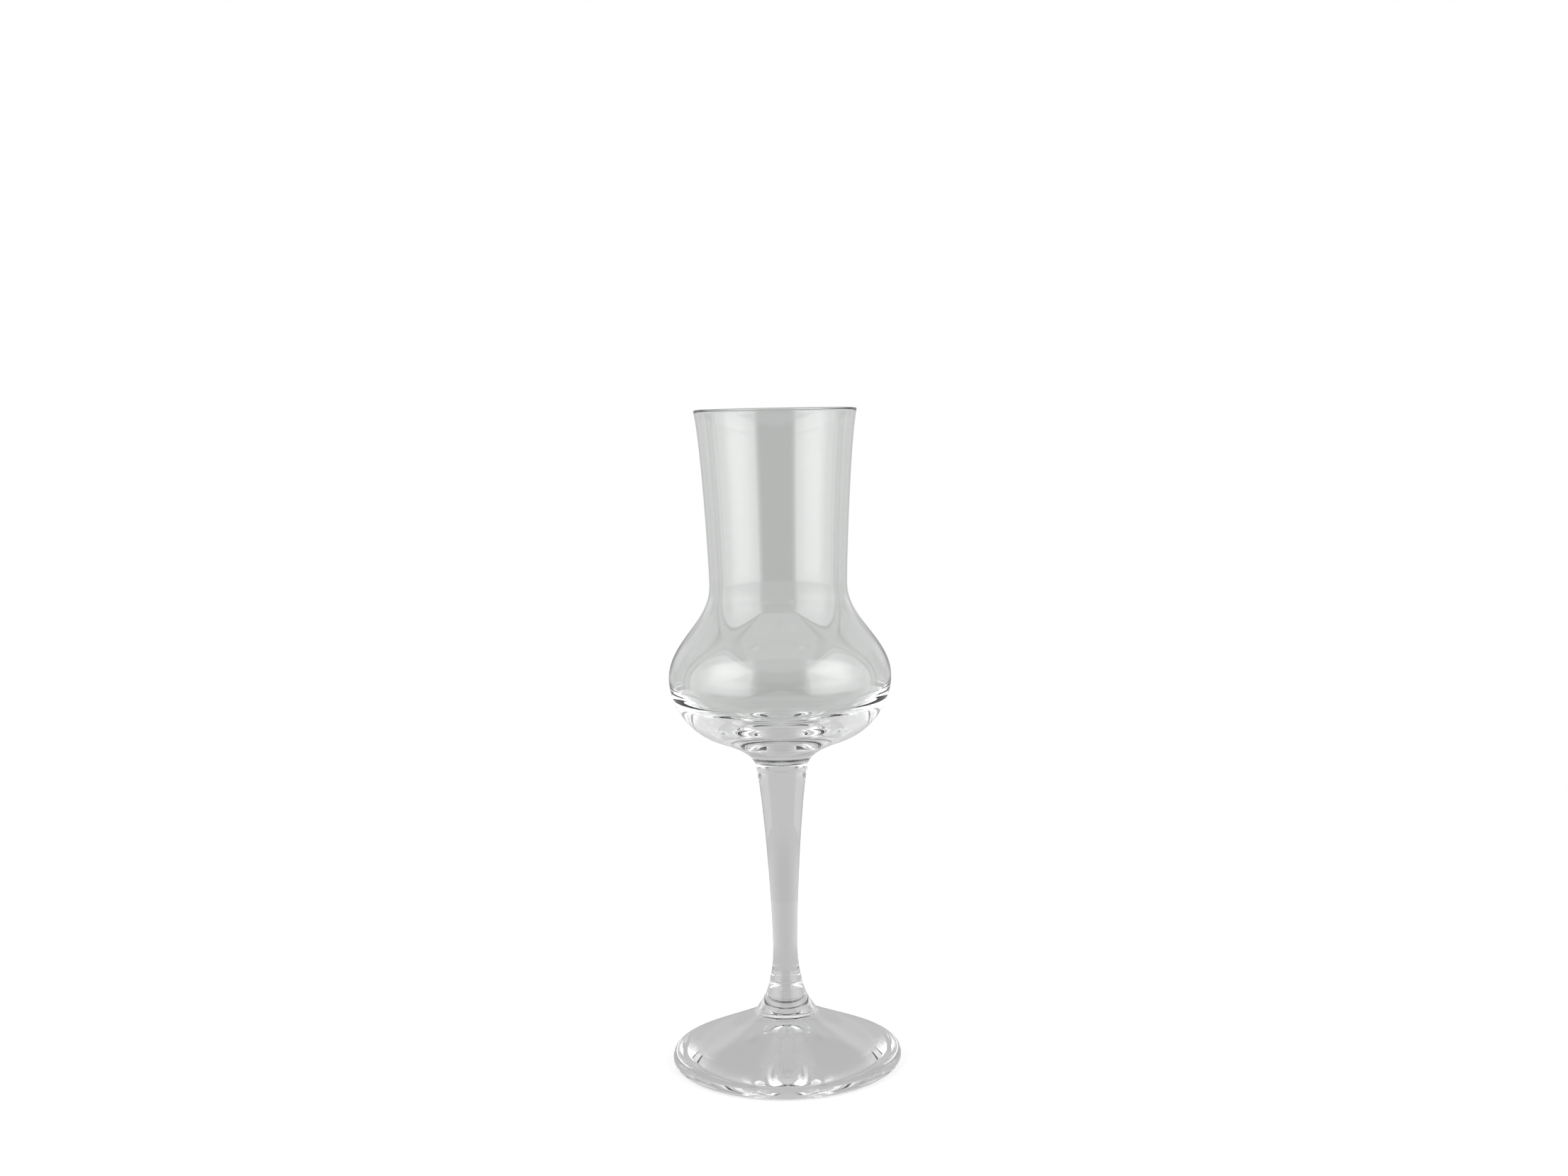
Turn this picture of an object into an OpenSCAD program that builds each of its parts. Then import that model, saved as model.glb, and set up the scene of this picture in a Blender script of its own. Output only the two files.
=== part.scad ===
// Tulip glass for grappa: a blown bowl on a drawn stem and a pressed foot.
// The three pieces are turned about the z axis and fused face to face at two joints.
// Millimetres. The glass stands on z = 0, with the rim upwards.

/* [Bowl] */
// Height of the bowl, from its joint with the stem to the rim
bowl_h = 85.5; // [70:0.5:110]
// Outside diameter of the rim
rim_d = 38.4; // [34:0.1:48]
// Outward lean of the lip at the rim, in degrees from upright
rim_flare = 13; // [0:1:25]
// Thickness of the lip, which is fire-polished to a full round
rim_wall = 0.8; // [0.5:0.1:2]
// Outside diameter of the neck at its narrowest ring
neck_d = 32.7; // [26:0.1:40]
// Height of the narrowest ring above the joint
neck_h = 44; // [36:0.5:56]
// Wall thickness at the neck
neck_wall = 0.6; // [0.5:0.1:2]
// Outside diameter of the bulb at its widest ring
bulb_d = 53; // [44:0.5:66]
// Height of the widest ring above the joint
bulb_h = 21.9; // [17:0.1:28]
// Wall thickness at the widest ring
bulb_wall = 0.8; // [0.5:0.1:2]
// Diameter of the ring under the bulb where its round turns into the flare
base_d = 32; // [24:0.5:38]
// Height of that ring above the joint
base_h = 7.2; // [5:0.1:10]
// Slope of the underside at that ring, in degrees from level
base_slope = 20; // [8:1:40]
// Glass between the level of that ring and the middle of the inside floor
floor_t = 1.7; // [1:0.1:4]

/* [Stem] */
// Length of the stem between its two joints
stem_l = 52.5; // [30:0.5:80]
// Diameter of the joint with the bowl
stem_top_d = 12.3; // [9:0.1:16]
// Lean of the side at that joint, in degrees from upright
stem_top_lean = 11; // [2:1:25]
// Diameter of the stem at its thinnest ring
waist_d = 5.9; // [4:0.1:8]
// Height of the thinnest ring above the joint with the foot
waist_h = 8.4; // [5:0.1:16]

/* [Foot] */
// Diameter of the joint with the stem
foot_joint_d = 7.7; // [6:0.1:10]
// Lean of the side at that joint, in degrees from upright
foot_joint_lean = 14.5; // [2:0.5:30]
// Length of the boss, from that joint down to the plate
boss_l = 8.1; // [5:0.1:14]
// Diameter of the boss at its crease with the plate
boss_d = 15.4; // [11:0.1:22]
// Lean of the boss above the crease, in degrees from upright
boss_lean = 34; // [20:1:50]
// Round on the boss just above the crease
boss_round = 0.4; // [0.2:0.1:1]
// Height of the plate's upper face at the crease
plate_h = 11.9; // [8:0.1:16]
// Glass between that height and the middle of the punt
plate_t = 5; // [3.5:0.1:7]
// Outside diameter of the foot
foot_d = 55.4; // [46:0.1:70]
// Slope of the plate's upper face at the boss, in degrees from level
plate_slope = 28; // [10:1:40]
// Slope of the plate's upper face at the edge, in degrees from level
edge_slope = 27; // [10:1:40]
// Height of the edge's widest ring above the table
edge_h = 1.35; // [0.8:0.05:2.5]
// Rise of the edge's round above the widest ring
edge_rise = 1.65; // [0.8:0.05:3]
// Inward reach of the edge's round
edge_round = 0.9; // [0.4:0.1:2]
// Distance from the edge in to the flat ring that the glass stands on
ring_inset = 3.45; // [2:0.05:6]
// Width of the flat ring
ring_w = 1.2; // [0.6:0.1:3]
// Slope of the punt at the flat ring, in degrees from level
punt_slope = 9; // [0:1:18]

/* [Joints] */
// Round left on the mating ends, which shows as a fine ring at each joint
seam_round = 0.25; // [0.1:0.05:0.5]

/* [Hidden] */
$fn = 128;
glass = [0.82, 0.85, 0.84, 0.45];

// Heights above the table
foot_h = plate_h + boss_l;
bowl_z = foot_h + stem_l;

// Steps along each curve, and round the lip and the seam rounds
steps = 16;
round_steps = 8;

// Shares of a curve's chord over which it keeps the heading of its two ends
neck_pull = [0.16, 0.135];
shoulder_pull = [0.36, 0.36];
bulb_pull = [0.30, 0.39];
flare_pull = [0.46, 0.25];
taper_pull = [0.20, 0.20];
waist_pull = [0.32, 0.32];
boss_pull = [0.50, 0.35];
plate_pull = [0.31, 0.21];
edge_pull = [0.50, 0.50];
heel_pull = [0.35, 0.35];
punt_pull = [0.48, 0.24];
// Shares of the bulb's radius and depth over which the inside floor and wall stay straight
floor_keep = 0.66;
wall_keep = 0.50;

// A heading in the half plane of the profile: 0 goes down, 90 goes outwards
function heading(a) = [sin(a), -cos(a)];

// A point of the cubic curve with control points a, b, c and d, at share t of its length
function cubic_at(a, b, c, d, t) =
    pow(1 - t, 3) * a + 3 * pow(1 - t, 2) * t * b + 3 * (1 - t) * t * t * c + pow(t, 3) * d;

// The cubic curve as points, without its last point
function cubic(a, b, c, d) = [for (i = [0 : steps - 1]) cubic_at(a, b, c, d, i / steps)];

// A curve from a to b that leaves with heading from, arrives with heading to and keeps each for its pull
function blend(a, from, b, to, pull) =
    let (chord = norm(b - a))
    cubic(a, a + pull[0] * chord * heading(from), b - pull[1] * chord * heading(to), b);

// A round of radius r about c, from angle u to angle v, in degrees from outwards, both ends included
function arc(c, r, u, v) =
    [for (i = [0 : round_steps]) let (t = u + (v - u) * i / round_steps) c + r * [cos(t), sin(t)]];

// The rounded edge of an end face at height z and radius r: below the face if side is 1, above it if -1
function end_round(r, z, side) =
    let (c = [r - seam_round, z - side * seam_round])
    side > 0 ? arc(c, seam_round, 90, 0) : arc(c, seam_round, 0, -90);

module turned(profile) {
    rotate_extrude() polygon(profile);
}

// The bowl, with its joint at z = 0 of its own frame
module bowl() {
    rim = [rim_d / 2, bowl_h - rim_wall / 2];
    neck = [neck_d / 2, neck_h];
    bulb = [bulb_d / 2, bulb_h];
    base = [base_d / 2, base_h];
    joint = [stem_top_d / 2, seam_round];
    lip = rim - [rim_wall / 2, 0];
    neck_in = neck - [neck_wall, 0];
    bulb_in = bulb - [bulb_wall, 0];
    middle = [0, base_h + floor_t];
    depth = bulb_in[1] - middle[1];
    outside = concat(
        blend(rim, -rim_flare, neck, 0, neck_pull),
        blend(neck, 0, bulb, 0, shoulder_pull),
        blend(bulb, 0, base, base_slope - 90, bulb_pull),
        blend(base, base_slope - 90, joint, -stem_top_lean, flare_pull),
        end_round(stem_top_d / 2, 0, -1)
    );
    inside = concat(
        cubic(middle, middle + [floor_keep * bulb_in[0], 0], bulb_in - [0, wall_keep * depth], bulb_in),
        blend(bulb_in, 180, neck_in, 180, shoulder_pull),
        blend(neck_in, 180, lip - [rim_wall / 2, 0], 180 - rim_flare, [neck_pull[1], neck_pull[0]])
    );
    color(glass)
    translate([0, 0, bowl_z])
    turned(concat(outside, [[0, 0]], inside, arc(lip, rim_wall / 2, 180, 0)));
}

// The stem, with its joint with the foot at z = 0 of its own frame
module stem() {
    top = [stem_top_d / 2, stem_l - seam_round];
    waist = [waist_d / 2, waist_h];
    joint = [foot_joint_d / 2, seam_round];
    color(glass)
    translate([0, 0, foot_h])
    turned(concat(
        [[0, stem_l]],
        end_round(stem_top_d / 2, stem_l, 1),
        blend(top, -stem_top_lean, waist, 0, taper_pull),
        blend(waist, 0, joint, foot_joint_lean, waist_pull),
        end_round(foot_joint_d / 2, 0, -1),
        [[0, 0]]
    ));
}

// The foot, standing on z = 0
module foot() {
    joint = [foot_joint_d / 2, foot_h - seam_round];
    crease = [boss_d / 2, plate_h];
    boss_end = arc(crease - [boss_round, 0], boss_round, boss_lean, 0);
    edge = [foot_d / 2, edge_h];
    brow = edge + [-edge_round, edge_rise];
    ring = [edge[0] - ring_inset, 0];
    ring_in = ring - [ring_w, 0];
    crown = [0, plate_h - plate_t];
    color(glass)
    turned(concat(
        [[0, foot_h]],
        end_round(foot_joint_d / 2, foot_h, 1),
        blend(joint, foot_joint_lean, boss_end[0], boss_lean, boss_pull),
        boss_end,
        blend(crease, 90 - plate_slope, brow, 90 - edge_slope, plate_pull),
        blend(brow, 90 - edge_slope, edge, 0, edge_pull),
        blend(edge, 0, ring, -90, heel_pull),
        [ring],
        blend(ring_in, -90 - punt_slope, crown, -90, punt_pull),
        [crown]
    ));
}

bowl();
stem();
foot();
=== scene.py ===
"""Grappa glass: a blown tulip bowl, a drawn stem and a pressed foot, dressed for rendering.

The three pieces are turned about the z axis from profiles given in millimetres, and are fused
face to face at two joints. The studio is a light tent, written into the world by direction, round
a pale table top. The camera sees both as white; the glass sees the tent's greys and its panels.
"""
import logging
import math
from abc import ABC, abstractmethod
from dataclasses import dataclass
from enum import IntEnum
from typing import Union

import bpy
import numpy as np
from mathutils import Matrix


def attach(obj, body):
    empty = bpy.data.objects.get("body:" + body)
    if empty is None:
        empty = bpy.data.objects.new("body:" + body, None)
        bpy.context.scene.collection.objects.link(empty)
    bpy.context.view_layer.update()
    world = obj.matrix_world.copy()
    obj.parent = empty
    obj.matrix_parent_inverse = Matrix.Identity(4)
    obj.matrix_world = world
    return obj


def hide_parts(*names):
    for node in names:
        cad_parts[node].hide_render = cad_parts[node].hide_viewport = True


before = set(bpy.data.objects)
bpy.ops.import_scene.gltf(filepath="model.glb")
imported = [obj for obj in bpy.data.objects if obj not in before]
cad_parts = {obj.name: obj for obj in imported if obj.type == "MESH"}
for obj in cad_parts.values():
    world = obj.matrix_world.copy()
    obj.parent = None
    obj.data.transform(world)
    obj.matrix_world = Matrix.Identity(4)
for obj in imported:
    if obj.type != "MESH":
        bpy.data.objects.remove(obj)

LOG = logging.getLogger("grappa_glass")
MM = 0.001
# Points round the axis, along each curve, and round the lip and the seams
TURN_STEPS = 224
CURVE_STEPS = 40
ROUND_STEPS = 10
# Headings in the half plane of a profile, in degrees
DOWN = 0.0
OUT = 90.0
UP = 180.0
IN = -90.0

Pair = tuple[float, float]
Socket = bpy.types.NodeSocket
Term = Union[Socket, float]


class Skin(IntEnum):
    """What a stretch of a profile is made of, as the index of its material."""

    POLISHED = 0
    FUSED = 1


def point(radius: float, height: float) -> np.ndarray:
    """Return a point of a profile.

    Args:
        radius: distance from the axis in millimetres.
        height: height in millimetres.

    Returns:
        An array of the two.
    """
    return np.array([radius, height], dtype=float)


def heading(angle: float) -> np.ndarray:
    """Return a unit step in the half plane of a profile.

    Args:
        angle: 0 degrees goes down, 90 goes outwards.

    Returns:
        The step's sine outwards and its cosine downwards.
    """
    turn = math.radians(angle)
    return point(math.sin(turn), -math.cos(turn))


def cubic(a: np.ndarray, b: np.ndarray, c: np.ndarray, d: np.ndarray) -> np.ndarray:
    """Return a cubic curve as points, without its last point.

    Each point is the sum of the four control points, weighted by the Bernstein polynomials of t.

    Args:
        a: the start.
        b: the start's handle.
        c: the end's handle.
        d: the end.

    Returns:
        An array of points, one row each.
    """
    t = np.linspace(0.0, 1.0, CURVE_STEPS, endpoint=False)[:, None]
    u = 1.0 - t
    return u**3 * a + 3 * u**2 * t * b + 3 * u * t**2 * c + t**3 * d


def blend(a: np.ndarray, leave: float, b: np.ndarray, arrive: float, pull: Pair) -> np.ndarray:
    """Return a curve from a to b with given headings at its ends.

    Each handle lies along its heading, at its pull times the length of the chord from a to b.

    Args:
        a: the start.
        leave: heading at the start, in degrees.
        b: the end.
        arrive: heading at the end, in degrees.
        pull: shares of the chord over which the start's and the end's heading are kept.

    Returns:
        An array of points without the last one.
    """
    chord = float(np.linalg.norm(b - a))
    return cubic(a, a + pull[0] * chord * heading(leave), b - pull[1] * chord * heading(arrive), b)


def arc(centre: np.ndarray, radius: float, start: float, stop: float) -> np.ndarray:
    """Return a round about a centre, by the cosine and sine of its angle, both ends included.

    Args:
        centre: the middle of the round.
        radius: its radius in millimetres.
        start: first angle in degrees from outwards, positive upwards.
        stop: last angle.

    Returns:
        An array of points.
    """
    angle = np.radians(np.linspace(start, stop, ROUND_STEPS + 1))
    return centre + radius * np.stack([np.cos(angle), np.sin(angle)], axis=1)


def spread(middle: float, reach: float) -> Pair:
    """Return the span from reach below a value to reach above it.

    Args:
        middle: the value.
        reach: half the span's length.

    Returns:
        The span's two ends.
    """
    return (middle - reach, middle + reach)


@dataclass(frozen=True)
class ClearGlass:
    """Clear fire-polished glass with the faint waves of hot working and a thin washing haze."""

    name: str
    tint: tuple[float, float, float] = (0.981, 0.991, 0.983)
    index: float = 1.5
    # The waves: noise cells per metre, octaves, depth in metres, and scale along the axis
    wave_scale: float = 60.0
    wave_detail: float = 1.0
    wave_depth: float = 0.000004
    stretch: float = 0.35
    # The haze: noise cells per metre, octaves, the noise's span that counts, and the most roughness
    film_scale: float = 240.0
    film_detail: float = 3.0
    film_span: Pair = (0.45, 0.75)
    haze: float = 0.012

    def material(self) -> bpy.types.Material:
        """Build the material.

        A noise in object coordinates, drawn out along the axis as the glass was, gives the waves of
        the surface; a finer one gives the haze in the roughness.

        Returns:
            The new material.
        """
        made = bpy.data.materials.new(self.name)
        made.use_nodes = True
        tree = made.node_tree
        shader = tree.nodes["Principled BSDF"]
        shader.inputs["Base Color"].default_value = (*self.tint, 1.0)
        shader.inputs["IOR"].default_value = self.index
        shader.inputs["Transmission Weight"].default_value = 1.0
        place = tree.nodes.new("ShaderNodeTexCoord")
        drawn = tree.nodes.new("ShaderNodeMapping")
        drawn.inputs["Scale"].default_value = (1.0, 1.0, self.stretch)
        tree.links.new(place.outputs["Object"], drawn.inputs["Vector"])
        waves = tree.nodes.new("ShaderNodeTexNoise")
        waves.inputs["Scale"].default_value = self.wave_scale
        waves.inputs["Detail"].default_value = self.wave_detail
        tree.links.new(drawn.outputs["Vector"], waves.inputs["Vector"])
        bump = tree.nodes.new("ShaderNodeBump")
        bump.inputs["Strength"].default_value = 1.0
        bump.inputs["Distance"].default_value = self.wave_depth
        tree.links.new(waves.outputs["Fac"], bump.inputs["Height"])
        tree.links.new(bump.outputs["Normal"], shader.inputs["Normal"])
        film = tree.nodes.new("ShaderNodeTexNoise")
        film.inputs["Scale"].default_value = self.film_scale
        film.inputs["Detail"].default_value = self.film_detail
        tree.links.new(place.outputs["Object"], film.inputs["Vector"])
        rough = tree.nodes.new("ShaderNodeMapRange")
        rough.inputs["From Min"].default_value = self.film_span[0]
        rough.inputs["From Max"].default_value = self.film_span[1]
        rough.inputs["To Min"].default_value = 0.0
        rough.inputs["To Max"].default_value = self.haze
        tree.links.new(film.outputs["Fac"], rough.inputs["Value"])
        tree.links.new(rough.outputs["Result"], shader.inputs["Roughness"])
        return made


@dataclass(frozen=True)
class FusedFace:
    """The face of a hot joint, where the glass runs on into the next piece and nothing shows."""

    name: str = "fused_face"

    def material(self) -> bpy.types.Material:
        """Build a material that lets light through unchanged.

        Returns:
            The new material.
        """
        made = bpy.data.materials.new(self.name)
        made.use_nodes = True
        tree = made.node_tree
        tree.nodes.clear()
        clear = tree.nodes.new("ShaderNodeBsdfTransparent")
        out = tree.nodes.new("ShaderNodeOutputMaterial")
        tree.links.new(clear.outputs["BSDF"], out.inputs["Surface"])
        return made


class Profile:
    """A profile of a turned piece, laid down stretch by stretch from axis to axis."""

    def __init__(self) -> None:
        """Start an empty profile."""
        self._points: list[np.ndarray] = []
        self._skins: list[np.ndarray] = []

    def add(self, points: np.ndarray, skin: Skin = Skin.POLISHED) -> None:
        """Add a stretch.

        Args:
            points: the stretch's points, in millimetres.
            skin: what the band from each of these points to the next one is made of.
        """
        rows = np.atleast_2d(points)
        self._points.append(rows)
        self._skins.append(np.full(len(rows), int(skin)))

    def points(self) -> np.ndarray:
        """Return all points, one row each."""
        return np.vstack(self._points)

    def skins(self) -> np.ndarray:
        """Return the material index of the band that follows each point."""
        return np.concatenate(self._skins)


def turned(name: str, line: np.ndarray, skins: np.ndarray,
           finishes: list[bpy.types.Material]) -> bpy.types.Object:
    """Turn a profile about the z axis into a closed mesh.

    A point of radius r and height z becomes the ring (r cos a, r sin a, z) for a from 0 to a full
    turn. Neighbouring rings are joined by quads, and the profile's two ends, which lie on the
    axis, are closed by fans of triangles.

    Args:
        name: name of the object and its mesh.
        line: the profile in metres, from its upper end on the axis, outwards and down to its lower end.
        skins: the material index of the band that follows each point.
        finishes: materials in the order of Skin.

    Returns:
        The new object, linked to the scene.
    """
    body = line[1:-1]
    rings = len(body)
    angle = np.linspace(0.0, 2.0 * math.pi, TURN_STEPS, endpoint=False)
    grid = np.empty((rings, TURN_STEPS, 3))
    grid[..., 0] = body[:, :1] * np.cos(angle)
    grid[..., 1] = body[:, :1] * np.sin(angle)
    grid[..., 2] = body[:, 1:]
    poles = np.array([[0.0, 0.0, line[0, 1]], [0.0, 0.0, line[-1, 1]]])
    verts = np.vstack([grid.reshape(-1, 3), poles])
    here = np.arange(TURN_STEPS)
    following = (here + 1) % TURN_STEPS
    row = np.arange(rings - 1)[:, None] * TURN_STEPS
    below = row + TURN_STEPS
    quads = np.stack([row + here, below + here, below + following, row + following], axis=-1).reshape(-1, 4)
    upper = rings * TURN_STEPS
    last = upper - TURN_STEPS
    fan_up = np.stack([np.full(TURN_STEPS, upper), here, following], axis=-1)
    fan_down = np.stack([np.full(TURN_STEPS, upper + 1), last + following, last + here], axis=-1)
    mesh = bpy.data.meshes.new(name)
    mesh.from_pydata(verts.tolist(), [], quads.tolist() + fan_up.tolist() + fan_down.tolist())
    bands = np.concatenate([
        np.repeat(skins[1:-2], TURN_STEPS),
        np.full(TURN_STEPS, skins[0]),
        np.full(TURN_STEPS, skins[-2]),
    ])
    mesh.polygons.foreach_set("material_index", bands.astype(np.int32))
    mesh.polygons.foreach_set("use_smooth", np.ones(len(mesh.polygons), dtype=bool))
    for finish in finishes:
        mesh.materials.append(finish)
    mesh.update()
    piece = bpy.data.objects.new(name, mesh)
    bpy.context.scene.collection.objects.link(piece)
    return piece


@dataclass
class GlassPiece(ABC):
    """A turned piece of the glass. Its own heights run from its lower end, base is that end's height."""

    name: str
    node: str
    base: float
    seam_round: float = 0.25

    @abstractmethod
    def profile(self) -> Profile:
        """Return the piece's profile, in its own heights."""

    def start_at_joint(self, radius: float, height: float) -> Profile:
        """Start a profile with the joint on top of the piece: its fused face and the round on its edge.

        Args:
            radius: radius of the joint in millimetres.
            height: height of the face.

        Returns:
            The new profile.
        """
        line = Profile()
        line.add(point(0.0, height), Skin.FUSED)
        line.add(arc(point(radius - self.seam_round, height - self.seam_round), self.seam_round, 90.0, 0.0))
        return line

    def end_at_joint(self, line: Profile, radius: float) -> None:
        """End a profile with the joint under the piece: the round on its edge and its fused face.

        Args:
            line: the profile.
            radius: radius of the joint in millimetres.
        """
        edge = arc(point(radius - self.seam_round, self.seam_round), self.seam_round, 0.0, -90.0)
        line.add(edge[:-1])
        line.add(edge[-1], Skin.FUSED)
        line.add(point(0.0, 0.0), Skin.FUSED)

    def build(self, finishes: list[bpy.types.Material]) -> bpy.types.Object:
        """Build the piece in its place on the axis, and tie it to the frame.

        Args:
            finishes: materials in the order of Skin.

        Returns:
            The new object.
        """
        own = self.profile()
        piece = turned(self.name, (own.points() + point(0.0, self.base)) * MM, own.skins(), finishes)
        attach(piece, "root")
        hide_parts(self.node)
        LOG.info("%s: %d faces", self.name, len(piece.data.polygons))
        return piece


@dataclass
class Foot(GlassPiece):
    """The pressed foot: a boss for the stem, a domed plate, a standing ring and a punt."""

    height: float = 20.0
    joint_d: float = 7.7
    joint_lean: float = 14.5
    boss_d: float = 15.4
    boss_lean: float = 34.0
    boss_round: float = 0.4
    plate_h: float = 11.9
    plate_t: float = 5.0
    diameter: float = 55.4
    plate_slope: float = 28.0
    edge_slope: float = 27.0
    edge_h: float = 1.35
    edge_rise: float = 1.65
    edge_round: float = 0.9
    ring_inset: float = 3.45
    ring_w: float = 1.2
    punt_slope: float = 9.0
    boss_pull: Pair = (0.50, 0.35)
    plate_pull: Pair = (0.31, 0.21)
    edge_pull: Pair = (0.50, 0.50)
    heel_pull: Pair = (0.35, 0.35)
    punt_pull: Pair = (0.48, 0.24)

    def profile(self) -> Profile:
        """Return the profile: joint, boss, plate, edge, standing ring and punt."""
        joint = point(self.joint_d / 2, self.height - self.seam_round)
        bead = point(self.boss_d / 2 - self.boss_round, self.plate_h)
        boss_end = arc(bead, self.boss_round, self.boss_lean, 0.0)
        edge = point(self.diameter / 2, self.edge_h)
        brow = edge + point(-self.edge_round, self.edge_rise)
        ring = point(edge[0] - self.ring_inset, 0.0)
        ring_in = ring - point(self.ring_w, 0.0)
        crown = point(0.0, self.plate_h - self.plate_t)
        line = self.start_at_joint(self.joint_d / 2, self.height)
        line.add(blend(joint, self.joint_lean, boss_end[0], self.boss_lean, self.boss_pull)[1:])
        line.add(boss_end[:-1])
        line.add(blend(boss_end[-1], OUT - self.plate_slope, brow, OUT - self.edge_slope, self.plate_pull))
        line.add(blend(brow, OUT - self.edge_slope, edge, DOWN, self.edge_pull))
        line.add(blend(edge, DOWN, ring, IN, self.heel_pull))
        line.add(ring)
        line.add(blend(ring_in, IN - self.punt_slope, crown, IN, self.punt_pull))
        line.add(crown)
        return line


@dataclass
class Stem(GlassPiece):
    """The drawn stem, thinnest a little above the foot."""

    length: float = 52.5
    top_d: float = 12.3
    top_lean: float = 11.0
    waist_d: float = 5.9
    waist_h: float = 8.4
    joint_d: float = 7.7
    joint_lean: float = 14.5
    taper_pull: Pair = (0.20, 0.20)
    waist_pull: Pair = (0.32, 0.32)

    def profile(self) -> Profile:
        """Return the profile: upper joint, taper, waist and lower joint."""
        top = point(self.top_d / 2, self.length - self.seam_round)
        waist = point(self.waist_d / 2, self.waist_h)
        joint = point(self.joint_d / 2, self.seam_round)
        line = self.start_at_joint(self.top_d / 2, self.length)
        line.add(blend(top, DOWN - self.top_lean, waist, DOWN, self.taper_pull)[1:])
        line.add(blend(waist, DOWN, joint, self.joint_lean, self.waist_pull))
        self.end_at_joint(line, self.joint_d / 2)
        return line


@dataclass
class Bowl(GlassPiece):
    """The blown bowl: a flared neck, a squat bulb and a thick base drawn down to the stem."""

    height: float = 85.5
    rim_d: float = 38.4
    rim_flare: float = 13.0
    rim_wall: float = 0.8
    neck_d: float = 32.7
    neck_h: float = 44.0
    neck_wall: float = 0.6
    bulb_d: float = 53.0
    bulb_h: float = 21.9
    bulb_wall: float = 0.8
    base_d: float = 32.0
    base_h: float = 7.2
    base_slope: float = 20.0
    floor_t: float = 1.7
    floor_keep: float = 0.66
    wall_keep: float = 0.50
    joint_d: float = 12.3
    joint_lean: float = 11.0
    neck_pull: Pair = (0.16, 0.135)
    shoulder_pull: Pair = (0.36, 0.36)
    bulb_pull: Pair = (0.30, 0.39)
    flare_pull: Pair = (0.46, 0.25)

    def profile(self) -> Profile:
        """Return the profile: inside from the floor up, lip, outside down to the joint."""
        rim = point(self.rim_d / 2, self.height - self.rim_wall / 2)
        neck = point(self.neck_d / 2, self.neck_h)
        bulb = point(self.bulb_d / 2, self.bulb_h)
        under = point(self.base_d / 2, self.base_h)
        joint = point(self.joint_d / 2, self.seam_round)
        lip = rim - point(self.rim_wall / 2, 0.0)
        lip_in = rim - point(self.rim_wall, 0.0)
        neck_in = neck - point(self.neck_wall, 0.0)
        bulb_in = bulb - point(self.bulb_wall, 0.0)
        middle = point(0.0, self.base_h + self.floor_t)
        floor_end = middle + point(self.floor_keep * bulb_in[0], 0.0)
        wall_end = bulb_in - point(0.0, self.wall_keep * (bulb_in[1] - middle[1]))
        line = Profile()
        line.add(cubic(middle, floor_end, wall_end, bulb_in))
        line.add(blend(bulb_in, UP, neck_in, UP, self.shoulder_pull))
        line.add(blend(neck_in, UP, lip_in, UP - self.rim_flare, self.neck_pull[::-1]))
        line.add(arc(lip, self.rim_wall / 2, 180.0, 0.0)[:-1])
        line.add(blend(rim, DOWN - self.rim_flare, neck, DOWN, self.neck_pull))
        line.add(blend(neck, DOWN, bulb, DOWN, self.shoulder_pull))
        line.add(blend(bulb, DOWN, under, IN + self.base_slope, self.bulb_pull))
        line.add(blend(under, IN + self.base_slope, joint, DOWN - self.joint_lean, self.flare_pull))
        self.end_at_joint(line, self.joint_d / 2)
        return line


class NodeSums:
    """Sums that are written into a node tree as Math and Map Range nodes."""

    def __init__(self, tree: bpy.types.NodeTree) -> None:
        """Keep the tree.

        Args:
            tree: the node tree that the nodes go into.
        """
        self.tree = tree

    def calc(self, kind: str, *values: Term) -> Socket:
        """Add a Math node.

        Args:
            kind: the node's operation.
            values: what goes into its inputs, sockets or plain numbers.

        Returns:
            The node's output.
        """
        node = self.tree.nodes.new("ShaderNodeMath")
        node.operation = kind
        for slot, value in zip(node.inputs, values):
            if isinstance(value, float):
                slot.default_value = value
            else:
                self.tree.links.new(value, slot)
        return node.outputs[0]

    def rise(self, value: Socket, span: Pair) -> Socket:
        """Return a smooth step.

        Args:
            value: what the step depends on.
            span: the value below which the step is 0, and the one above which it is 1.

        Returns:
            The step's socket.
        """
        node = self.tree.nodes.new("ShaderNodeMapRange")
        node.interpolation_type = "SMOOTHSTEP"
        self.tree.links.new(value, node.inputs["Value"])
        node.inputs["From Min"].default_value = span[0]
        node.inputs["From Max"].default_value = span[1]
        return node.outputs["Result"]

    def fall(self, value: Socket, span: Pair) -> Socket:
        """Return a smooth step downwards.

        Args:
            value: what the step depends on.
            span: the value below which the step is 1, and the one above which it is 0.

        Returns:
            The step's socket.
        """
        return self.calc("SUBTRACT", 1.0, self.rise(value, span))

    def mix(self, low: Term, high: Term, share: Socket) -> Socket:
        """Return a mixture of two values.

        Args:
            low: the value where the share is 0.
            high: the value where the share is 1.
            share: the share of the high value.

        Returns:
            The mixture's socket.
        """
        return self.calc("MULTIPLY_ADD", share, self.calc("SUBTRACT", high, low), low)

    def axes(self, vector: Socket) -> tuple[Socket, Socket, Socket]:
        """Return the three coordinates of a vector.

        Args:
            vector: the vector's socket.

        Returns:
            The sockets of x, y and z.
        """
        node = self.tree.nodes.new("ShaderNodeSeparateXYZ")
        self.tree.links.new(vector, node.inputs["Vector"])
        return (node.outputs["X"], node.outputs["Y"], node.outputs["Z"])


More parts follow.
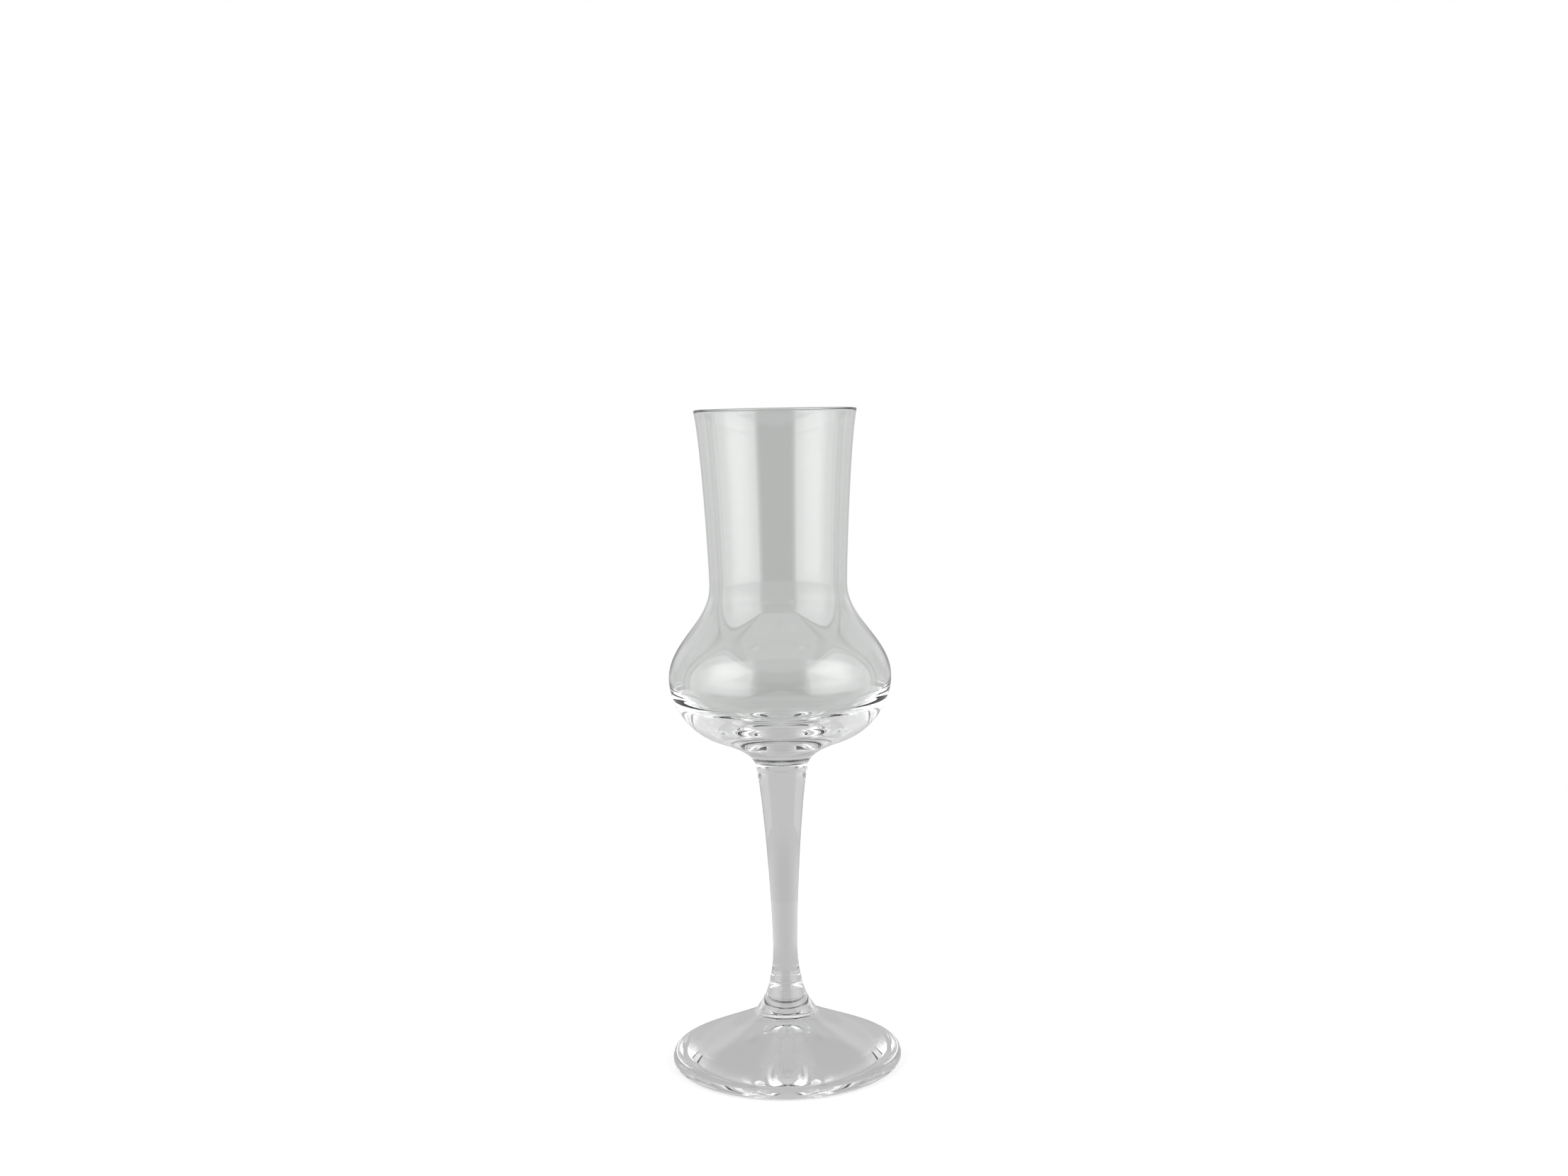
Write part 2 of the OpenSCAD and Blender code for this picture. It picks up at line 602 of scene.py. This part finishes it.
class Sky(NodeSums):
    """The sums of a world's node tree, with where a ray looks and what it has met.

    turn is the azimuth from the camera's side, the same to the left and the right, and lift is the
    elevation, both in degrees. camera is 1 for rays that come from the camera itself. straight is 1
    for rays that have passed through glass and have met nothing that sent them back.
    """

    # Bounces are whole numbers, so fewer than this are none
    NO_BOUNCE = 0.5

    def __init__(self, tree: bpy.types.NodeTree) -> None:
        """Add the nodes that every part of the tent needs.

        Args:
            tree: the world's node tree.
        """
        super().__init__(tree)
        place = tree.nodes.new("ShaderNodeTexCoord")
        x, y, z = self.axes(place.outputs["Generated"])
        ahead = self.calc("MULTIPLY", y, -1.0)
        self.turn = self.calc("DEGREES", self.calc("ABSOLUTE", self.calc("ARCTAN2", x, ahead)))
        self.lift = self.calc("DEGREES", self.calc("ARCSINE", z))
        path = tree.nodes.new("ShaderNodeLightPath")
        self.camera = path.outputs["Is Camera Ray"]
        bounces = self.calc("ADD", path.outputs["Glossy Depth"], path.outputs["Diffuse Depth"])
        unbounced = self.calc("LESS_THAN", bounces, self.NO_BOUNCE)
        self.straight = self.calc("MULTIPLY", path.outputs["Is Transmission Ray"], unbounced)


@dataclass(frozen=True)
class Tent:
    """The light tent, written into the world by direction. Levels are light, and 1.0 is white.

    From the camera's side round to the back there are a dark gap, a bright panel that fades into a
    wing, the panel's hem, a pale wall and the grey backdrop. The panel's frame and the hem's are
    rounded and have a dark line along them. Above the walls is a dark room, before them are dark
    stands, and low down, past the table's edge, all is as grey as the backdrop. Spans of turn and lift
    are in degrees.
    """

    # The backdrop, and the turn over which it takes over from the walls
    backdrop: float = 0.555
    backdrop_rise: Pair = (152.0, 158.0)
    # The walls: low down and higher up, and the lift between the two
    wall_foot: float = 0.63
    wall_top: float = 0.86
    wall_rise: Pair = (-3.0, 5.0)
    # The dark room: from this turn on and above this lift, and straight overhead
    room: float = 0.04
    room_turn: Pair = (104.0, 112.0)
    room_lift: Pair = (34.0, 42.0)
    overhead: Pair = (78.0, 84.0)
    # The stands: their level, turns and lifts, soft edge, and strength in reflections
    stand: float = 0.16
    stands: tuple[tuple[Pair, Pair], ...] = (
        ((121.0, 136.0), (1.0, 17.0)),
        ((115.5, 122.0), (13.0, 25.0)),
        ((150.0, 158.0), (8.0, 22.0)),
    )
    stand_edge: float = 2.0
    stand_echo: float = 0.3
    # The panel at its brightest and its wing; a share of the panel comes up crisply, the rest softly
    panel: float = 4.2
    wing: float = 2.0
    crisp: float = 0.4
    crisp_rise: Pair = (28.0, 35.0)
    soft_rise: Pair = (33.0, 56.0)
    panel_fall: Pair = (70.0, 96.0)
    # Shares that are left of the glow near its top, and of the whole panel from a little way up
    glow_top: float = 0.5
    glow_top_rise: Pair = (25.0, 46.0)
    head: float = 0.75
    head_rise: Pair = (6.0, 20.0)
    # Share of the panel's light low down, where it fades into the hem's level
    panel_foot: float = 0.2
    panel_climb: Pair = (-32.0, 40.0)
    # The frame: turn of its highest place, of its back and front, its lift, and its drop at the front
    frame_middle: float = 70.0
    frame_back: float = 108.0
    frame_front: float = 32.0
    frame_top: float = 48.0
    frame_drop: float = 9.5
    # Where the panel starts beside the gap, the power of the frame's corners, and its soft edge
    front_rise: Pair = (28.0, 33.0)
    roundness: float = 2.5
    frame_soft: float = 0.01
    # The hem round the frame, with its width at the back and at the top
    hem: float = 0.78
    hem_back: float = 9.0
    hem_top: float = 5.0
    # Half width of the dark lines, as a share of the frame, and the part of it that is all dark
    line: float = 0.032
    line_core: float = 0.3
    # The gap for the camera: its level, the turn at which it ends, and its soft edge at the frame
    gap: float = 0.03
    gap_fall: Pair = (22.0, 32.0)
    gap_soft: float = 0.02
    # The table's edge: how far below the horizon it lies at the front, how much further at the sides
    table_edge: float = 16.0
    table_drop: float = 10.0
    table_soft: float = 1.5
    # The turn up to which rays that only passed through glass see the backdrop's grey
    plain_fall: Pair = (98.0, 112.0)

    def frame_share(self, sky: Sky, back: float, top: float, drop: float) -> Socket:
        """Return how far out a direction lies in a rounded frame.

        The shares of the way to the frame's back and to its top are added as powers of the
        roundness, and the root is taken. The top sinks with the square of the way to the front.

        Args:
            sky: the world's sums.
            back: turn of the frame's back.
            top: lift of the frame's highest place.
            drop: how much lower its top is at the front.

        Returns:
            The share's socket, 1 on the frame itself.
        """
        before = sky.calc("SUBTRACT", self.frame_middle, sky.calc("MAXIMUM", sky.turn, self.frame_front))
        ahead = sky.calc("DIVIDE", sky.calc("MAXIMUM", before, 0.0), self.frame_middle - self.frame_front)
        sunk = sky.calc("MULTIPLY", sky.calc("POWER", ahead, 2.0), drop)
        tall = sky.calc("DIVIDE", sky.calc("MAXIMUM", sky.lift, 0.0), sky.calc("SUBTRACT", top, sunk))
        beyond = sky.calc("MAXIMUM", sky.calc("SUBTRACT", sky.turn, self.frame_middle), 0.0)
        far = sky.calc("DIVIDE", beyond, back - self.frame_middle)
        powers = [sky.calc("POWER", share, self.roundness) for share in (far, tall)]
        return sky.calc("POWER", sky.calc("ADD", *powers), 1.0 / self.roundness)

    def panel_light(self, sky: Sky) -> Socket:
        """Return the level of the panel and its wing.

        Args:
            sky: the world's sums.

        Returns:
            The level's socket.
        """
        crisp = sky.calc("MULTIPLY", sky.rise(sky.turn, self.crisp_rise), self.crisp)
        soft = sky.calc("MULTIPLY", sky.rise(sky.turn, self.soft_rise), 1.0 - self.crisp)
        glow = sky.calc("MULTIPLY", sky.calc("ADD", crisp, soft), sky.fall(sky.turn, self.panel_fall))
        topped = sky.mix(1.0, self.glow_top, sky.rise(sky.lift, self.glow_top_rise))
        glow = sky.calc("MULTIPLY", glow, topped)
        white = sky.calc("MULTIPLY_ADD", glow, self.panel - self.wing, self.wing)
        headed = sky.mix(1.0, self.head, sky.rise(sky.lift, self.head_rise))
        white = sky.calc("MULTIPLY", white, headed)
        climb = sky.mix(self.panel_foot, 1.0, sky.rise(sky.lift, self.panel_climb))
        return sky.mix(self.hem, white, climb)

    def wall_light(self, sky: Sky, outer: Socket) -> Socket:
        """Return the level of all that is outside the panel's frame.

        Args:
            sky: the world's sums.
            outer: share of the way to the hem's frame.

        Returns:
            The level's socket.
        """
        high = sky.calc("MULTIPLY", sky.rise(sky.turn, self.room_turn), sky.rise(sky.lift, self.room_lift))
        high = sky.calc("MAXIMUM", high, sky.rise(sky.lift, self.overhead))
        wall = sky.mix(self.wall_foot, self.wall_top, sky.rise(sky.lift, self.wall_rise))
        outside = sky.rise(outer, spread(1.0, self.frame_soft))
        level = sky.mix(self.hem, sky.mix(wall, self.room, high), outside)
        level = sky.mix(level, self.backdrop, sky.rise(sky.turn, self.backdrop_rise))
        seen = sky.mix(self.stand_echo, 1.0, sky.straight)
        for turns, lifts in self.stands:
            wide = self.between(sky, sky.turn, turns)
            tall = self.between(sky, sky.lift, lifts)
            level = sky.mix(level, self.stand, sky.calc("MULTIPLY", seen, sky.calc("MULTIPLY", wide, tall)))
        return level

    def between(self, sky: Sky, value: Socket, ends: Pair) -> Socket:
        """Return a step up and down again, with a stand's soft edges.

        Args:
            sky: the world's sums.
            value: what the step depends on.
            ends: where it goes up and where it comes down.

        Returns:
            The step's socket.
        """
        near, far = (sky.rise(value, spread(end, self.stand_edge)) for end in ends)
        return sky.calc("SUBTRACT", near, far)

    def level(self, sky: Sky) -> Socket:
        """Return the tent's level for rays that don't come from the camera itself.

        Args:
            sky: the world's sums.

        Returns:
            The level's socket.
        """
        inner = self.frame_share(sky, self.frame_back, self.frame_top, self.frame_drop)
        hem_top = self.frame_top + self.hem_top
        hem_drop = self.frame_drop + self.hem_top
        outer = self.frame_share(sky, self.frame_back + self.hem_back, hem_top, hem_drop)
        inside = sky.fall(inner, spread(1.0, self.frame_soft))
        framed = sky.calc("MULTIPLY", inside, sky.rise(sky.turn, self.front_rise))
        sheet = sky.mix(self.wall_light(sky, outer), self.panel_light(sky), framed)
        low = sky.fall(inner, spread(1.0, self.gap_soft))
        opened = sky.calc("MULTIPLY", sky.fall(sky.turn, self.gap_fall), low)
        sheet = sky.mix(sheet, self.gap, opened)
        for share in (inner, outer):
            off = sky.calc("ABSOLUTE", sky.calc("SUBTRACT", share, 1.0))
            sheet = sky.calc("MULTIPLY", sheet, sky.rise(off, (self.line_core * self.line, self.line)))
        aside = sky.calc("SUBTRACT", 1.0, sky.calc("COSINE", sky.calc("RADIANS", sky.turn)))
        sunk = sky.calc("MULTIPLY_ADD", aside, self.table_drop, self.table_edge)
        above = sky.rise(sky.calc("ADD", sky.lift, sunk), spread(0.0, self.table_soft))
        level = sky.mix(self.backdrop, sheet, above)
        plain = sky.calc("MULTIPLY", sky.straight, sky.fall(sky.turn, self.plain_fall))
        return sky.mix(level, self.backdrop, plain)

    def build(self) -> None:
        """Write the tent into the scene's world. Camera rays see plain white."""
        world = bpy.data.worlds.new("light_tent")
        bpy.context.scene.world = world
        world.use_nodes = True
        tree = world.node_tree
        tree.nodes.clear()
        sky = Sky(tree)
        shown = tree.nodes.new("ShaderNodeMix")
        tree.links.new(sky.camera, shown.inputs["Factor"])
        tree.links.new(self.level(sky), shown.inputs["A"])
        shown.inputs["B"].default_value = 1.0
        background = tree.nodes.new("ShaderNodeBackground")
        tree.links.new(shown.outputs["Result"], background.inputs["Color"])
        out = tree.nodes.new("ShaderNodeOutputWorld")
        tree.links.new(background.outputs["Background"], out.inputs["Surface"])
        LOG.info("light tent written")


@dataclass(frozen=True)
class Table:
    """The round table top that the glass stands on. Glass sees its glowing greys, with painted side light
    and painted shade near its foot; the camera sees its white.

    Radii are in metres.
    """

    radius: float = 0.40
    corners: int = 96
    # The grey near the glass, kept darker there as painted shade of the foot, the painted side light that
    # the sides add to it, and the grey at the rim
    grey: float = 0.51
    side: float = 0.24
    painted_side_light_rise: Pair = (0.04, 0.10)
    rim_grey: float = 0.56
    rim_rise: Pair = (0.22, 0.40)
    # For the camera: the paper's own colour, and the light that lifts it to white
    albedo: float = 0.70
    lift: float = 0.52

    def build(self) -> bpy.types.Object:
        """Build the table as one flat disc and dress it.

        Returns:
            The new object.
        """
        angle = np.linspace(0.0, 2.0 * math.pi, self.corners, endpoint=False)
        rim = np.stack([np.cos(angle), np.sin(angle), np.zeros_like(angle)], axis=1) * self.radius
        mesh = bpy.data.meshes.new("table_top")
        mesh.from_pydata(rim.tolist(), [], [list(range(self.corners))])
        mesh.materials.append(self.material())
        top = bpy.data.objects.new("table_top", mesh)
        bpy.context.scene.collection.objects.link(top)
        LOG.info("table top placed")
        return top

    def material(self) -> bpy.types.Material:
        """Build the table's material: white paper for the camera, and for the glass a glowing grey of
        painted light and shade.

        Returns:
            The new material.
        """
        made = bpy.data.materials.new("table_paper_and_painted_light")
        made.use_nodes = True
        tree = made.node_tree
        tree.nodes.clear()
        sums = NodeSums(tree)
        path = tree.nodes.new("ShaderNodeLightPath")
        paper = tree.nodes.new("ShaderNodeBsdfDiffuse")
        paper.inputs["Color"].default_value = (self.albedo, self.albedo, self.albedo, 1.0)
        glow = tree.nodes.new("ShaderNodeEmission")
        lifted = sums.calc("MULTIPLY", path.outputs["Is Camera Ray"], self.lift)
        tree.links.new(lifted, glow.inputs["Strength"])
        white = tree.nodes.new("ShaderNodeAddShader")
        tree.links.new(paper.outputs["BSDF"], white.inputs[0])
        tree.links.new(glow.outputs["Emission"], white.inputs[1])
        # For the glass the table glows with painted light: a grey with painted side light, and painted
        # shade near the foot.
        plain = tree.nodes.new("ShaderNodeEmission")
        tree.links.new(self.painted_light_and_shade(sums), plain.inputs["Strength"])
        by_glass = sums.calc("MAXIMUM", path.outputs["Is Transmission Ray"], path.outputs["Is Glossy Ray"])
        either = tree.nodes.new("ShaderNodeMixShader")
        tree.links.new(by_glass, either.inputs["Fac"])
        tree.links.new(white.outputs["Shader"], either.inputs[1])
        tree.links.new(plain.outputs["Emission"], either.inputs[2])
        out = tree.nodes.new("ShaderNodeOutputMaterial")
        tree.links.new(either.outputs["Shader"], out.inputs["Surface"])
        return made

    def painted_light_and_shade(self, sums: NodeSums) -> Socket:
        """Return the grey that glass sees, painted light and shade: brighter to its left and right as
        painted side light, and darker near its foot as painted shade.

        The share of the side light at a point is x squared over the squared distance from the axis.
        Towards the rim the grey runs into one that suits the tent.

        Args:
            sums: the sums of the material's node tree.

        Returns:
            The grey's socket.
        """
        place = sums.tree.nodes.new("ShaderNodeNewGeometry")
        x, y, _ = sums.axes(place.outputs["Position"])
        across = sums.calc("MULTIPLY", x, x)
        around = sums.calc("MULTIPLY_ADD", y, y, across)
        away = sums.calc("SQRT", around)
        # Painted side light, which grows only away from the foot, so the grey near the foot stays darker as
        # painted shade.
        share = sums.calc("MULTIPLY", sums.calc("DIVIDE", across, around), sums.rise(away, self.painted_side_light_rise))
        near = sums.calc("MULTIPLY_ADD", share, self.side, self.grey)
        return sums.mix(near, self.rim_grey, sums.rise(away, self.rim_rise))


@dataclass(frozen=True)
class Viewpoint:
    """The camera, fitted to the photograph's frame of 2212 by 1659 pixels.

    Lengths are in millimetres, angles in degrees and the focal length in pixels of that frame.
    """

    distance: float = 429.8
    height: float = 164.03
    pitch: float = 6.43
    yaw: float = -0.18
    roll: float = -1.1
    focal_px: float = 2569.9
    frame_px: float = 2212.0
    sensor: float = 36.0
    nearest: float = 10.0

    def build(self) -> bpy.types.Object:
        """Place the camera and make it the scene's own.

        Returns:
            The new camera.
        """
        data = bpy.data.cameras.new("viewpoint")
        data.sensor_width = self.sensor
        data.lens = self.sensor * self.focal_px / self.frame_px
        data.clip_start = self.nearest * MM
        camera = bpy.data.objects.new("viewpoint", data)
        turn = Matrix.Rotation(math.radians(self.yaw), 4, "Z")
        tilt = Matrix.Rotation(math.radians(90.0 - self.pitch), 4, "X")
        lean = Matrix.Rotation(math.radians(self.roll), 4, "Z")
        camera.rotation_euler = (turn @ tilt @ lean).to_euler()
        camera.location = (0.0, -self.distance * MM, self.height * MM)
        bpy.context.scene.collection.objects.link(camera)
        bpy.context.scene.camera = camera
        LOG.info("camera placed")
        return camera


@dataclass(frozen=True)
class Bounces:
    """How often light may bounce, which has to be often where glass is seen through glass."""

    total: int = 32
    transmission: int = 32
    glossy: int = 16
    transparent: int = 32

    def apply(self) -> None:
        """Set the scene's limits."""
        cycles = bpy.context.scene.cycles
        cycles.max_bounces = self.total
        cycles.transmission_bounces = self.transmission
        cycles.glossy_bounces = self.glossy
        cycles.transparent_max_bounces = self.transparent


def main() -> None:
    """Build the studio and the three pieces of the glass."""
    logging.basicConfig(level=logging.INFO, format="%(name)s: %(message)s")
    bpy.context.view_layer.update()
    bpy.context.scene.view_settings.view_transform = "Standard"
    Bounces().apply()
    Viewpoint().build()
    Tent().build()
    Table().build()
    fused = FusedFace().material()
    foot = Foot("foot_glass", "foot", 0.0)
    stem = Stem("stem_glass", "stem", foot.height)
    bowl = Bowl("bowl_glass", "bowl", foot.height + stem.length)
    for piece in (foot, stem, bowl):
        piece.build([ClearGlass(piece.name).material(), fused])


if __name__ == "__main__":
    main()
